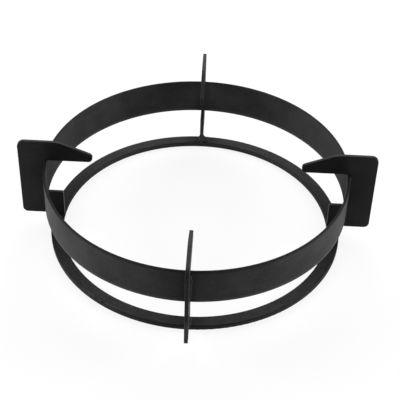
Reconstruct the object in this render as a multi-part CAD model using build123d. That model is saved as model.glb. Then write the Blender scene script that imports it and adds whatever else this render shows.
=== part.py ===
# Wok ring: stands over a gas burner and carries a round-bottomed pan.
# Millimetres, +Z up. The origin is the centre of the lower ring's underside.

from build123d import *
import os

# Upper band, rolled from strip and standing on edge
bandOuterRadius = 125.0
bandWall = 2.0
bandHeight = 30.9

# Lower ring, cut from flat steel, lying on the burner under the band
ringInset = 3.0
ringWidth = 10.0
ringThickness = 4.5
bandLift = 28.7

# Support plates, each with the band in a notch of its inner side
plateThickness = 3.0
bodyWidth = 21.5
topCornerRadius = 5.8
bottomCornerRadius = 4.4
notchClearance = 2.2

# Tab of a plate, under the band, with the foot that stands on the lower ring
tabOverhang = 0.8
tabCornerRadius = 1.0
footStep = 3.9
footStepRadius = 3.0

# Finger of a plate, lying on the band and sloping down towards the pan
fingerReach = 39.5
fingerRootHeight = 18.4
fingerTipHeight = 6.7
fingerShoulder = 11.8
fingerBlendRadius = 28.0
fingerTipRadius = 3.5
fingerHeelRadius = 3.5

# Softened edges, from the cutting and the thick coating
edgeRound = 0.4

# Weld beads
bandBeadRadius = 1.7
bandBeadMargin = 2.5
footBeadRadius = 1.6
footBeadMargin = 0.8
toeBeadRadius = 1.8
toeBeadOverlap = 0.8
beadEndShare = 0.6

# Where each plate stands, as an angle about the vertical axis
plateAngles = {"right": 0, "rear": 90, "left": 180, "front": 270}

ringOuterRadius = bandOuterRadius - ringInset
ringInnerRadius = ringOuterRadius - ringWidth
bandInnerRadius = bandOuterRadius - bandWall
bandBottom = ringThickness + bandLift
bandTop = bandBottom + bandHeight
plateTop = bandTop + fingerRootHeight
plateReach = bandOuterRadius + bodyWidth
tabRadius = ringInnerRadius - tabOverhang
tabTop = bandBottom - notchClearance
bodyBottom = ringThickness + footStep
fingerRadius = bandOuterRadius - fingerReach
fingerTipTop = bandTop + fingerTipHeight
shoulderRadius = bandOuterRadius - fingerShoulder


def hoop(outerRadius, innerRadius, bottom, height):
    """A ring of rectangular section with softened edges."""
    section = Pos((outerRadius + innerRadius) / 2, bottom + height / 2) * Rectangle(outerRadius - innerRadius, height)
    section = fillet(section.vertices(), edgeRound)
    return revolve(Plane.XZ * section, Axis.Z)


def plateOutline():
    """The plate as it is cut from sheet: distance from the axis across, height up."""
    corners = {
        (tabRadius, ringThickness): None,
        (ringOuterRadius, ringThickness): None,
        (ringOuterRadius, bodyBottom): footStepRadius,
        (plateReach, bodyBottom): bottomCornerRadius,
        (plateReach, plateTop): topCornerRadius,
        (shoulderRadius, plateTop): fingerBlendRadius,
        (fingerRadius, fingerTipTop): fingerTipRadius,
        (fingerRadius, bandTop): fingerHeelRadius,
        (bandOuterRadius, bandTop): None,
        (bandOuterRadius, tabTop): None,
        (tabRadius, tabTop): tabCornerRadius,
    }
    outline = make_face(Polyline(*corners, close=True))
    for place, radius in corners.items():
        if radius:
            corner = outline.vertices().sort_by_distance(place)[0]
            outline = fillet(corner, radius)
    return outline


def supportPlate():
    plate = extrude(Plane.XZ * plateOutline(), plateThickness / 2, both=True)
    faceEdges = plate.edges().filter_by(Plane.XZ)
    return fillet(faceEdges, edgeRound)


def bead(radius, length):
    """A run of weld along +Z about its middle, with rounded ends."""
    run = Cylinder(radius, length)
    return fillet(run.edges().filter_by(GeomType.CIRCLE), radius * beadEndShare)


def weldBeads(plate):
    """The beads that hold one plate: up both sides on the band, and around its foot on the ring."""
    bandMiddle = (bandTop + bandBottom) / 2
    footLength = ringWidth - footBeadMargin
    footMiddle = ringOuterRadius - footLength / 2
    beads = Pos(ringOuterRadius, 0, ringThickness) * Rot(X=90) * bead(toeBeadRadius, plateThickness + 2 * toeBeadOverlap)
    for side in (plateThickness / 2, -plateThickness / 2):
        beads += Pos(bandOuterRadius, side, bandMiddle) * bead(bandBeadRadius, bandHeight - 2 * bandBeadMargin)
        beads += Pos(footMiddle, side, ringThickness) * Rot(Y=90) * bead(footBeadRadius, footLength)
    atBottom = (Align.CENTER, Align.CENTER, Align.MIN)
    insideBand = Pos(Z=bandBottom) * Cylinder(bandOuterRadius, bandHeight, align=atBottom)
    insideRing = Cylinder(ringOuterRadius, ringThickness, align=atBottom)
    return beads - insideBand - insideRing - plate


parts = {
    "upper_band": hoop(bandOuterRadius, bandInnerRadius, bandBottom, bandHeight),
    "lower_ring": hoop(ringOuterRadius, ringInnerRadius, 0, ringThickness),
}
plate = supportPlate()
beads = weldBeads(plate)
for side, angle in plateAngles.items():
    parts[f"support_plate_{side}"] = Rot(Z=angle) * plate
    parts[f"weld_beads_{side}"] = Rot(Z=angle) * beads

os.makedirs("parts", exist_ok=True)
for name, part in parts.items():
    part.label = name
    export_step(part, f"parts/{name}.step")
    print(name, round(part.volume), "mm3", len(part.solids()), "solids")
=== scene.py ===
import math
import random

import bmesh
import bpy
from mathutils import Matrix, Vector


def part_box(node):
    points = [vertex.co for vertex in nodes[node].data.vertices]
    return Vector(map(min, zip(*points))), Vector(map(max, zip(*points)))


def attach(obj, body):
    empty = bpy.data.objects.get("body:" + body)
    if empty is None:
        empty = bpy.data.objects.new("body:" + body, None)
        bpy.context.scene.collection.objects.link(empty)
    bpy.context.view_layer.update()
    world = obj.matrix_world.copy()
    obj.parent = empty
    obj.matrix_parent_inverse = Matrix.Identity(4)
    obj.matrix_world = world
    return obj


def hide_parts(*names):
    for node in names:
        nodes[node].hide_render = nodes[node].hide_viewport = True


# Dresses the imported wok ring: a black coating on every piece, rippled weld runs, and a plain white studio.
# Metres, +Z up, in the part's own frame: the lower ring lies on z = 0, the plates stand on the X and Y axes.

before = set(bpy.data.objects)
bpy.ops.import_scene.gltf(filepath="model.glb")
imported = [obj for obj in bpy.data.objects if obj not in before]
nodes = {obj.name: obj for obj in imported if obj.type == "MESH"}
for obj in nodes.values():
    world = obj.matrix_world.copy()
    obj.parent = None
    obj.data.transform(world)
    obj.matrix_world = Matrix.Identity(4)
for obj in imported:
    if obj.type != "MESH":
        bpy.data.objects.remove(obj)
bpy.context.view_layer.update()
millimetre = 0.001

bandLow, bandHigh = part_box("upper_band")
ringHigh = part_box("lower_ring")[1]
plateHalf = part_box("support_plate_right")[1].y
plateAngles = {"right": 0, "rear": 90, "left": 180, "front": 270}


class Value:
    # a socket that Python's operators work on: an expression adds its Math nodes
    def __init__(self, recipe, socket):
        self.recipe = recipe
        self.socket = socket

    def maths(self, operation, first, second=0.0):
        return self.recipe.node("ShaderNodeMath", {"operation": operation}, {0: first, 1: second})

    def __add__(self, other):
        return self.maths("ADD", self, other)

    def __radd__(self, other):
        return self.maths("ADD", other, self)

    def __sub__(self, other):
        return self.maths("SUBTRACT", self, other)

    def __rsub__(self, other):
        return self.maths("SUBTRACT", other, self)

    def __mul__(self, other):
        return self.maths("MULTIPLY", self, other)

    def __rmul__(self, other):
        return self.maths("MULTIPLY", other, self)

    def __abs__(self):
        return self.maths("ABSOLUTE", self)

    def larger(self, other):
        return self.maths("MAXIMUM", self, other)

    def smaller(self, other):
        return self.maths("MINIMUM", self, other)


class Recipe:
    # the node tree of a material or of the world
    def __init__(self, owner):
        owner.use_nodes = True
        self.tree = owner.node_tree
        self.tree.nodes.clear()

    def node(self, kind, settings=None, inputs=None, output=0):
        made = self.tree.nodes.new(kind)
        for name, setting in (settings or {}).items():
            setattr(made, name, setting)
        for name, given in (inputs or {}).items():
            if isinstance(given, Value):
                self.tree.links.new(given.socket, made.inputs[name])
            else:
                made.inputs[name].default_value = given
        return Value(self, made.outputs[output]) if made.outputs else made

    def place(self):
        return self.node("ShaderNodeTexCoord", output="Object")

    def axis(self, place, name):
        return self.node("ShaderNodeSeparateXYZ", {}, {"Vector": place}, name)

    def radius(self, place):
        # the distance from the part's axis
        level = self.node("ShaderNodeVectorMath", {"operation": "MULTIPLY"}, {0: place, 1: (1, 1, 0)})
        return self.node("ShaderNodeVectorMath", {"operation": "LENGTH"}, {0: level}, "Value")

    def noise(self, place, size, detail=2.0, roughness=0.5):
        # a cloudy pattern whose lumps are about this size in metres, around 0.5
        inputs = {"Vector": place, "Scale": 1 / size, "Detail": detail, "Roughness": roughness}
        return self.node("ShaderNodeTexNoise", {}, inputs, "Fac")

    def ramp(self, value, limits, start=0.0):
        # 0 up to the first limit, 1 from the second, smooth between; the limits count from start
        inputs = {"Value": value, "From Min": start + limits[0], "From Max": start + limits[1]}
        return self.node("ShaderNodeMapRange", {"interpolation_type": "SMOOTHSTEP"}, inputs)

    def stretched(self, place, scale):
        return self.node("ShaderNodeMapping", {}, {"Vector": place, "Scale": scale})

    def blend(self, factor, colour, other):
        # colour where factor is 0, other where it is 1; each is a socket or three numbers
        inputs = {"Factor": factor}
        for slot, given in ((6, colour), (7, other)):
            inputs[slot] = given if isinstance(given, Value) else (*given, 1)
        return self.node("ShaderNodeMix", {"data_type": "RGBA"}, inputs, 2)


# What the coating shows on every piece; how strongly, each piece's own dictionary says.
coating = {
    "cloudSize": 26 * millimetre,       # slow change of tone from the dipping and baking
    "cloudRange": (0.3, 0.7),
    "cloudRoughness": 0.12,
    "scuffSize": 7 * millimetre,        # faint paler marks from stacking and handling
    "scuffRange": (0.55, 0.72),
    "scuffShare": 0.3,
    "scuffRoughness": 0.05,
    "grainSize": 1.5 * millimetre,
    "paleGrain": (0.5, 0.66),
    "darkGrain": (0.34, 0.5),
    "grainRoughness": 0.1,
    "paleTone": 2.2,
    "darkTone": 0.3,
    "swellSize": 9 * millimetre,        # slow unevenness of the steel under the coat
    "swellHeight": 0.05 * millimetre,
}


def coatedMaterial(name, piece, detail):
    # detail(recipe, place) gives this piece's own marks, a list of (mask, look), and a height in metres.
    # A look is the mark's share of the colour, its tone against the coat's, and its added roughness.
    material = bpy.data.materials.new(name)
    recipe = Recipe(material)

    def toned(tone):
        return [channel * tone for channel in piece["colour"]]

    place = recipe.place()
    cloud = recipe.noise(place, coating["cloudSize"], detail=3)
    scuff = recipe.noise(place, coating["scuffSize"], detail=5, roughness=0.7)
    grain = recipe.noise(place, coating["grainSize"], detail=4, roughness=0.65)
    swell = recipe.noise(place, coating["swellSize"], detail=1)

    clouded = recipe.ramp(cloud, coating["cloudRange"])
    pale = recipe.ramp(grain, coating["paleGrain"]) * piece["speckled"]
    dark = (1 - recipe.ramp(grain, coating["darkGrain"])) * piece["speckled"]
    scuffed = recipe.ramp(scuff, coating["scuffRange"])
    colour = recipe.blend(clouded, toned(1 - piece["clouded"]), toned(1 + piece["clouded"]))
    colour = recipe.blend(pale, colour, toned(coating["paleTone"]))
    colour = recipe.blend(dark, colour, toned(coating["darkTone"]))
    colour = recipe.blend(scuffed * coating["scuffShare"], colour, toned(coating["paleTone"]))
    roughness = piece["roughness"] + (cloud - 0.5) * coating["cloudRoughness"]
    roughness = roughness + (grain - 0.5) * coating["grainRoughness"] + scuffed * coating["scuffRoughness"]

    marks, relief = detail(recipe, place)
    for mask, (share, tone, added) in marks:
        mask = mask * share
        colour = recipe.blend(mask, colour, toned(tone))
        roughness = roughness + mask * added

    height = grain * piece["grainHeight"] + swell * coating["swellHeight"] + relief
    normal = recipe.node("ShaderNodeBump", {}, {"Strength": 1.0, "Distance": 1.0, "Height": height})
    surface = recipe.node("ShaderNodeBsdfPrincipled", {}, {
        "Base Color": colour,
        "Roughness": roughness,
        "Specular IOR Level": piece["specular"],
        "Normal": normal,
    })
    recipe.node("ShaderNodeOutputMaterial", {}, {"Surface": surface})
    return material


def dress(piece, material):
    piece.data.materials.clear()
    piece.data.materials.append(material)


def acrossPlates(recipe, place):
    # a plate stands on the X or the Y axis, so the smaller coordinate is the distance from its middle
    return abs(recipe.axis(place, "X")).smaller(abs(recipe.axis(place, "Y")))


def nearPlates(recipe, place, reach):
    return 1 - recipe.ramp(acrossPlates(recipe, place), (plateHalf, reach))


def nearSidePlates(recipe, place, reach):
    return 1 - recipe.ramp(abs(recipe.axis(place, "Y")), (plateHalf, reach))


# The rolled band took the coat smoothly.
upperBand = {
    "colour": (0.0180, 0.0180, 0.0183),
    "roughness": 0.60,
    "specular": 0.12,
    "clouded": 0.35,
    "speckled": 0.25,
    "grainHeight": 0.02 * millimetre,
    "rimShadeLimits": (-0.3 * millimetre, -0.02 * millimetre),       # from the top: the top rim, darkened as painted shade
    "rimShadeLook": (1.0, 0.45, 0.2),
    "shadeMarginLimits": (-2.6 * millimetre, -0.6 * millimetre),     # painted shade: a darker margin under it, outside
    "shadeMarginWall": (-1.0 * millimetre, -0.4 * millimetre),
    "shadeMarginLook": (0.8, 0.35, 0.1),
    "lowerEdgeReflectionLimits": (0, 3.5 * millimetre),        # the lower edge, paler as a painted reflection of the floor
    "lowerEdgeReflectionLook": (0.8, 3.2, 0.0),
    "streakSize": 1.1 * millimetre,             # drawn along the strip by the rolls
    "streakStretch": (0.03, 0.03, 1),
    "streakRange": (0.5, 0.8),
    "streakLook": (0.35, 1.8, 0.0),
    "streakHeight": 0.02 * millimetre,
    "plateShadeReach": 9 * millimetre,                 # painted shade, darker into the corners by the plates
    "plateShadeLook": (0.7, 0.45, 0.0),
    "sidePlateShadeReach": 45 * millimetre,               # and painted shade further beside the left and right ones
    "sidePlateShadeLook": (0.9, 0.4, 0.25),
}


def bandDetail(recipe, place):
    height = recipe.axis(place, "Z")
    # painted shade: the band's top rim darker
    rimShade = recipe.ramp(height, upperBand["rimShadeLimits"], bandHigh.z)
    outside = recipe.ramp(recipe.radius(place), upperBand["shadeMarginWall"], bandHigh.x)
    # painted shade: a darker margin below the rim on the outer wall
    shadeMargin = recipe.ramp(height, upperBand["shadeMarginLimits"], bandHigh.z) * outside
    # painted reflection: the band paler along its lower edge
    lowerEdgeReflection = 1 - recipe.ramp(height, upperBand["lowerEdgeReflectionLimits"], bandLow.z)
    along = recipe.stretched(place, upperBand["streakStretch"])
    streak = recipe.noise(along, upperBand["streakSize"], detail=3)
    marks = [
        (recipe.ramp(streak, upperBand["streakRange"]), upperBand["streakLook"]),
        (lowerEdgeReflection, upperBand["lowerEdgeReflectionLook"]),
        (shadeMargin, upperBand["shadeMarginLook"]),
        # painted shade beside the left and right plates
        (nearSidePlates(recipe, place, upperBand["sidePlateShadeReach"]), upperBand["sidePlateShadeLook"]),
        # painted shade beside every plate
        (nearPlates(recipe, place, upperBand["plateShadeReach"]), upperBand["plateShadeLook"]),
        (rimShade, upperBand["rimShadeLook"]),
    ]
    return marks, streak * upperBand["streakHeight"]


bandFinish = coatedMaterial("bandCoating", upperBand, bandDetail)
dress(nodes["upper_band"], bandFinish)
print("band done")


# The flat ring is the most matt and grainy piece.
lowerRing = {
    "colour": (0.0150, 0.0150, 0.0152),
    "roughness": 0.60,
    "specular": 0.05,
    "clouded": 0.25,
    "speckled": 0.7,
    "grainHeight": 0.05 * millimetre,
    "wallLimits": (-0.5 * millimetre, -0.1 * millimetre),       # from the top: the cut walls
    "wallOutside": (-7 * millimetre, -3 * millimetre),          # from the outer radius
    # painted light: the walls paler than the top, the inner wall most
    "wallPaintedLightLook": (1.0, 2.0, 0.0),
    "outerWallPaintedLightLook": (1.0, 1.55, 0.0),
    "cornerShadeLimits": (-1.5 * millimetre, -0.9 * millimetre),     # painted shade: dark along the corner of the outer wall
    "cornerShadeLook": (1.0, 0.5, 0.0),
    "dragSize": 0.7 * millimetre,               # upright lines that the cutting left on the walls
    "dragStretch": (1, 1, 0.05),
    "dragHeight": 0.03 * millimetre,
    "streakSize": 1.6 * millimetre,             # grinding lines around the ring
    "streakStretch": 0.15,
    "paleStreak": (0.5, 0.68),
    "paleLook": (0.38, 2.0, 0.0),
    "darkStreak": (0.32, 0.5),
    "darkLook": (0.38, 0.4, 0.0),
    # painted shade beside every plate
    "plateShadeReach": 22 * millimetre,
    "plateShadeLook": (0.7, 0.45, 0.05),
    # painted shade further beside the left and right plates
    "sidePlateShadeReach": 100 * millimetre,
    "sidePlateShadeLook": (0.9, 0.4, 0.1),
    "glintRadius": (-1.2 * millimetre, -0.8 * millimetre),     # a stretch of outer edge painted paler: a painted highlight
    "glintLimits": (-0.45 * millimetre, -0.15 * millimetre),
    "glintStart": (-98 * millimetre, -84 * millimetre),
    "glintEnd": (-62 * millimetre, -48 * millimetre),
    "glintSize": 5 * millimetre,
    "glintRange": (0.4, 0.55),
    "glintLook": (1.0, 2.4, 0.0),
}


def ringStreak(recipe, place, radius):
    # noise that changes fast with the radius and slowly around the ring
    around = recipe.node("ShaderNodeCombineXYZ", {}, {
        "X": radius,
        "Y": recipe.axis(place, "X") * lowerRing["streakStretch"],
        "Z": recipe.axis(place, "Y") * lowerRing["streakStretch"],
    })
    return recipe.noise(around, lowerRing["streakSize"], detail=2)


# painted highlight: a paler stretch along the ring's top outer edge
def paintedGlint(recipe, place, radius, height):
    side = recipe.axis(place, "X")
    edge = recipe.ramp(radius, lowerRing["glintRadius"], ringHigh.x)
    edge = edge * recipe.ramp(height, lowerRing["glintLimits"], ringHigh.z)
    edge = edge * recipe.ramp(side, lowerRing["glintStart"])
    edge = edge * (1 - recipe.ramp(side, lowerRing["glintEnd"]))
    return edge * recipe.ramp(recipe.noise(place, lowerRing["glintSize"]), lowerRing["glintRange"])


def ringDetail(recipe, place):
    height = recipe.axis(place, "Z")
    radius = recipe.radius(place)
    wall = 1 - recipe.ramp(height, lowerRing["wallLimits"], ringHigh.z)
    outerWall = wall * recipe.ramp(radius, lowerRing["wallOutside"], ringHigh.x)
    # painted shade along the top corner of the outer wall
    cornerShade = recipe.ramp(height, lowerRing["cornerShadeLimits"], ringHigh.z) * outerWall
    streak = ringStreak(recipe, place, radius)
    marks = [
        (recipe.ramp(streak, lowerRing["paleStreak"]), lowerRing["paleLook"]),
        (1 - recipe.ramp(streak, lowerRing["darkStreak"]), lowerRing["darkLook"]),
        # painted shade beside every plate
        (nearPlates(recipe, place, lowerRing["plateShadeReach"]), lowerRing["plateShadeLook"]),
        # painted light: the ring's walls paler than its top
        (wall, lowerRing["wallPaintedLightLook"]),
        (outerWall, lowerRing["outerWallPaintedLightLook"]),
        (cornerShade, lowerRing["cornerShadeLook"]),
        # painted shade beside the left and right plates
        (nearSidePlates(recipe, place, lowerRing["sidePlateShadeReach"]), lowerRing["sidePlateShadeLook"]),
        (paintedGlint(recipe, place, radius, height), lowerRing["glintLook"]),
    ]
    upright = recipe.stretched(place, lowerRing["dragStretch"])
    drag = recipe.noise(upright, lowerRing["dragSize"], detail=2)
    return marks, drag * wall * lowerRing["dragHeight"]


ringFinish = coatedMaterial("ringCoating", lowerRing, ringDetail)
dress(nodes["lower_ring"], ringFinish)
print("ring done")


# The plates are flat and matt, blackest on the fingers as painted shade, paler at the outer end as painted
# light.
supportPlate = {
    "colour": (0.0128, 0.0128, 0.0130),
    "roughness": 0.50,
    "specular": 0.06,
    "clouded": 0.4,
    "speckled": 0.3,
    "grainHeight": 0.02 * millimetre,
    # painted shade: the fingers darker
    "fingerShadeEnd": (116 * millimetre, 134 * millimetre),
    "fingerShadeLook": (0.8, 0.55, 0.05),
    "outerLightStart": (128 * millimetre, 147 * millimetre),   # the outer end, paler as painted light
    "outerLightLook": (0.6, 1.5, -0.03),
    "edgeEnd": (1.15 * millimetre, 1.45 * millimetre),      # across the sheet: the cut edges are paler, from a thinner coat and from painted light
    "edgeCoatAndLightLook": (1.0, 1.2, 0.0),
    "tabTop": (29 * millimetre, 36 * millimetre),           # and palest low down, on the tab, as painted light
    "tabLightLook": (1.0, 3.0, 0.0),
    "dragSize": 0.7 * millimetre,
    "dragHeight": 0.03 * millimetre,
}


def plateDetail(recipe, place):
    radius = recipe.radius(place)
    # painted shade on the fingers
    fingerShade = 1 - recipe.ramp(radius, supportPlate["fingerShadeEnd"])
    # painted light at the outer end
    outerLight = recipe.ramp(radius, supportPlate["outerLightStart"])
    # the cut edges paler: a thinner coat, and painted light
    edge = 1 - recipe.ramp(acrossPlates(recipe, place), supportPlate["edgeEnd"])
    # painted light on the tab's edges
    tabLitEdge = edge * (1 - recipe.ramp(recipe.axis(place, "Z"), supportPlate["tabTop"]))
    marks = [
        (fingerShade, supportPlate["fingerShadeLook"]),
        (outerLight, supportPlate["outerLightLook"]),
        (edge, supportPlate["edgeCoatAndLightLook"]),
        (tabLitEdge, supportPlate["tabLightLook"]),
    ]
    drag = recipe.noise(place, supportPlate["dragSize"], detail=2)
    return marks, drag * edge * supportPlate["dragHeight"]


plateFinish = coatedMaterial("plateCoating", supportPlate, plateDetail)
for side in plateAngles:
    dress(nodes["support_plate_" + side], plateFinish)
print("plates done")


# Weld runs, in a plate's own frame: X outwards along the plate, Y across it, Z up, in millimetres.
weld = {
    "colour": (0.0145, 0.0145, 0.0148),
    "roughness": 0.52,
    "specular": 0.09,
    "clouded": 0.2,
    "speckled": 0.5,
    "grainHeight": 0.04 * millimetre,
    "crustSize": 0.45 * millimetre,
    "crustHeight": 0.05 * millimetre,
    "brightCrust": (0.55, 0.75),
    "brightLook": (0.5, 1.7, -0.05),
    "dullAndShadedPoolLimits": (3 * millimetre, 6.5 * millimetre),   # painted shade on the pool by the rear foot, which is also rougher
    "dullAndShadedPoolLook": (0.8, 0.35, 0.2),
    "sides": 12,
    "pitch": 1.5,            # from one ripple to the next
    "steps": 4,              # rings of vertices in a ripple
    "ripple": 0.11,
    "endShare": 0.3,         # a run's width at its ends, before it rounds up to the full one
    "swell": (0.08, 0.9),    # slow change of width along a run: how much, and radians in a millimetre
    "wander": (0.14, 0.6),   # and of its middle
    "bandMargin": 2.6,       # from the band's lower and upper edges to a run's ends
    "bandRadius": 1.6,
    "footInner": 9.0,        # from the ring's outer radius inwards: where a run along the foot lies
    "footOuter": 0.1,
    "footRadius": 1.55,
    "toeReach": 2.2,
    "toeRadius": 1.7,
    # how full each run is: the one at the lower angle, then the one at the higher
    "fullness": {
        "right": {"band": (0.95, 1.0), "foot": (0.9, 1.0)},
        "rear": {"band": (0.8, 1.0), "foot": (1.0, 0.85)},
        "left": {"band": (1.0, 0.5), "foot": (1.0, 0.85)},
        "front": {"band": (0.75, 1.0), "foot": (0.9, 1.0)},
    },
    # a pool of weld beside the rear foot, where the run was gone over again
    "poolSide": "rear",
    "poolPlace": (117.1, -3.4, 4.5),
    "poolSize": (4.7, 4.3, 0.75),
    "poolFacets": (20, 12),
}


def weldDetail(recipe, place):
    crust = recipe.noise(place, weld["crustSize"], detail=3)
    turn = Matrix.Rotation(math.radians(plateAngles[weld["poolSide"]]), 3, "Z")
    pool = turn @ Vector(weld["poolPlace"]) * millimetre
    fromPool = recipe.node("ShaderNodeVectorMath", {"operation": "DISTANCE"}, {0: place, 1: pool}, "Value")
    marks = [
        (recipe.ramp(crust, weld["brightCrust"]), weld["brightLook"]),
        # painted shade and extra roughness on the pool by the rear foot
        (1 - recipe.ramp(fromPool, weld["dullAndShadedPoolLimits"]), weld["dullAndShadedPoolLook"]),
    ]
    return marks, crust * weld["crustHeight"]


def addRun(mesh, start, end, radius, chance):
    # a run of weld: a round face drawn out from start to end, swelling at each ripple
    line = end - start
    rings = round(line.length / weld["pitch"] * weld["steps"])
    turn = Vector((0, 0, 1)).rotation_difference(line).to_matrix().to_4x4()
    ripplePhase, swellPhase, wanderPhase = [chance.uniform(0, 2 * math.pi) for wave in range(3)]
    swell, swellRate = weld["swell"]
    wander, wanderRate = weld["wander"]

    def sizeAt(ring):
        travelled = line.length * ring / rings
        fromEnd = min(travelled, line.length - travelled)
        cap = min(1.0, weld["endShare"] + fromEnd / radius)
        rounded = math.sqrt(1 - (1 - cap) ** 2)
        ripple = abs(math.sin(math.pi * travelled / weld["pitch"] + ripplePhase))
        slow = swell * math.sin(travelled * swellRate + swellPhase)
        return radius * rounded * (1 - weld["ripple"] + weld["ripple"] * ripple + slow)

    def middleAt(ring):
        travelled = line.length * ring / rings
        sway = wander * math.sin(travelled * wanderRate + wanderPhase)
        return start + line * (ring / rings) + turn @ Vector((sway, sway, 0))

    place = Matrix.Translation(middleAt(0)) @ turn
    first = bmesh.ops.create_circle(mesh, cap_ends=True, segments=weld["sides"],
                                    radius=sizeAt(0), matrix=place)
    face = first["verts"][0].link_faces[0]
    for ring in range(1, rings + 1):
        face = bmesh.ops.extrude_discrete_faces(mesh, faces=[face])["faces"][0]
        middle = middleAt(ring - 1)
        grown = sizeAt(ring) / sizeAt(ring - 1)
        bmesh.ops.scale(mesh, vec=(grown, grown, grown), space=Matrix.Translation(-middle), verts=face.verts)
        bmesh.ops.translate(mesh, vec=middleAt(ring) - middle, verts=face.verts)


def addPool(mesh):
    around, upwards = weld["poolFacets"]
    place = Matrix.Translation(weld["poolPlace"]) @ Matrix.Diagonal((*weld["poolSize"], 1))
    bmesh.ops.create_uvsphere(mesh, u_segments=around, v_segments=upwards, radius=1.0, matrix=place)


def addRuns(mesh, side):
    bandRadius = bandHigh.x / millimetre
    bandBottom = bandLow.z / millimetre + weld["bandMargin"]
    bandTop = bandHigh.z / millimetre - weld["bandMargin"]
    ringRadius = ringHigh.x / millimetre
    ringTop = ringHigh.z / millimetre
    chance = random.Random(side)
    full = weld["fullness"][side]
    for sign, bandFull, footFull in zip((-1, 1), full["band"], full["foot"]):
        across = sign * plateHalf / millimetre
        start = Vector((bandRadius, across, bandBottom))
        end = Vector((bandRadius, across, bandTop))
        addRun(mesh, start, end, weld["bandRadius"] * bandFull, chance)
        start = Vector((ringRadius - weld["footInner"], across, ringTop))
        end = Vector((ringRadius - weld["footOuter"], across, ringTop))
        addRun(mesh, start, end, weld["footRadius"] * footFull, chance)
    start = Vector((ringRadius, -weld["toeReach"], ringTop))
    end = Vector((ringRadius, weld["toeReach"], ringTop))
    addRun(mesh, start, end, weld["toeRadius"], chance)


def makeWelds(side, finish):
    mesh = bmesh.new()
    addRuns(mesh, side)
    if side == weld["poolSide"]:
        addPool(mesh)
    bmesh.ops.holes_fill(mesh, edges=[edge for edge in mesh.edges if edge.is_boundary])
    bmesh.ops.recalc_face_normals(mesh, faces=mesh.faces)
    bmesh.ops.scale(mesh, vec=(millimetre, millimetre, millimetre), verts=mesh.verts)
    turn = Matrix.Rotation(math.radians(plateAngles[side]), 3, "Z")
    bmesh.ops.rotate(mesh, cent=(0, 0, 0), matrix=turn, verts=mesh.verts)
    for face in mesh.faces:
        face.smooth = True
    data = bpy.data.meshes.new("weld_runs_" + side)
    mesh.to_mesh(data)
    mesh.free()
    runs = bpy.data.objects.new("weld_runs_" + side, data)
    bpy.context.scene.collection.objects.link(runs)
    dress(runs, finish)
    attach(runs, "root")
    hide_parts("weld_beads_" + side)


weldFinish = coatedMaterial("weldCoating", weld, weldDetail)
for side in plateAngles:
    makeWelds(side, weldFinish)
print("welds done")


studio = {
    "floorSize": 8.0,
    "floorColour": (0.9, 0.9, 0.9),
    "shadowReach": (0.25, 0.7),     # the floor turns plain white between these distances
    "shadowShare": 0.15,            # how much of the floor's look is real light, which holds the shadow
    "skyStrength": 0.08,
    "aim": (0, 0, 0.04),
    "lamps": {
        "left": {"place": (-1.15, -0.05, 0.38), "size": 0.8, "power": 20.0},
        "right": {"place": (1.2, 0.05, 0.35), "size": 0.8, "power": 20.0},
        "rightFill": {"place": (1.0, -0.7, 0.5), "size": 0.8, "power": 2.0},
        "back": {"place": (0.0, 1.2, 1.0), "size": 1.2, "power": 24.0},
    },
}


def seenDirectly(recipe):
    # 1 for what the camera sees, also in a reflection or through glass
    camera = recipe.node("ShaderNodeLightPath", output="Is Camera Ray")
    glossy = recipe.node("ShaderNodeLightPath", output="Is Glossy Ray")
    through = recipe.node("ShaderNodeLightPath", output="Is Transmission Ray")
    return camera.larger(glossy).larger(through)


def makeFloor():
    mesh = bmesh.new()
    bmesh.ops.create_grid(mesh, x_segments=1, y_segments=1, size=studio["floorSize"] / 2)
    data = bpy.data.meshes.new("floor")
    mesh.to_mesh(data)
    mesh.free()
    floor = bpy.data.objects.new("floor", data)
    bpy.context.scene.collection.objects.link(floor)
    material = bpy.data.materials.new("floorPaper")
    recipe = Recipe(material)
    lit = recipe.node("ShaderNodeBsdfDiffuse", {}, {"Color": (*studio["floorColour"], 1)})
    white = recipe.node("ShaderNodeEmission", {}, {"Color": (1, 1, 1, 1), "Strength": 1.0})
    distance = recipe.node("ShaderNodeVectorMath", {"operation": "LENGTH"}, {0: recipe.place()}, "Value")
    near = 1 - recipe.ramp(distance, studio["shadowReach"])
    share = seenDirectly(recipe) * (1 - near * studio["shadowShare"])
    surface = recipe.node("ShaderNodeMixShader", {}, {"Fac": share, 1: lit, 2: white})
    recipe.node("ShaderNodeOutputMaterial", {}, {"Surface": surface})
    dress(floor, material)


def makeSky():
    world = bpy.data.worlds.new("studioSky")
    bpy.context.scene.world = world
    recipe = Recipe(world)
    seen = seenDirectly(recipe)
    strength = seen + (1 - seen) * studio["skyStrength"]
    surface = recipe.node("ShaderNodeBackground", {}, {"Color": (1, 1, 1, 1), "Strength": strength})
    recipe.node("ShaderNodeOutputWorld", {}, {"Surface": surface})


def makeLamp(name, spec):
    lamp = bpy.data.lights.new(name, "AREA")
    lamp.shape = "SQUARE"
    lamp.size = spec["size"]
    lamp.energy = spec["power"]
    holder = bpy.data.objects.new(name, lamp)
    bpy.context.scene.collection.objects.link(holder)
    holder.location = spec["place"]
    aim = Vector(studio["aim"]) - Vector(spec["place"])
    holder.rotation_euler = aim.to_track_quat("-Z", "Y").to_euler()


makeFloor()
makeSky()
for name, spec in studio["lamps"].items():
    makeLamp("lamp_" + name, spec)
print("studio done")


cameraSpec = {
    "place": (0.02227, -0.70004, 0.61336),
    "turn": (50.12, -1.35, 2.67),   # degrees
    "lens": 98.0,
    "sensor": 36,
}


def makeCamera():
    data = bpy.data.cameras.new("camera")
    data.sensor_width = cameraSpec["sensor"]
    data.lens = cameraSpec["lens"]
    camera = bpy.data.objects.new("camera", data)
    bpy.context.scene.collection.objects.link(camera)
    camera.location = cameraSpec["place"]
    camera.rotation_euler = [math.radians(angle) for angle in cameraSpec["turn"]]
    bpy.context.scene.camera = camera


makeCamera()
bpy.context.scene.view_settings.view_transform = "Standard"
print("camera done")
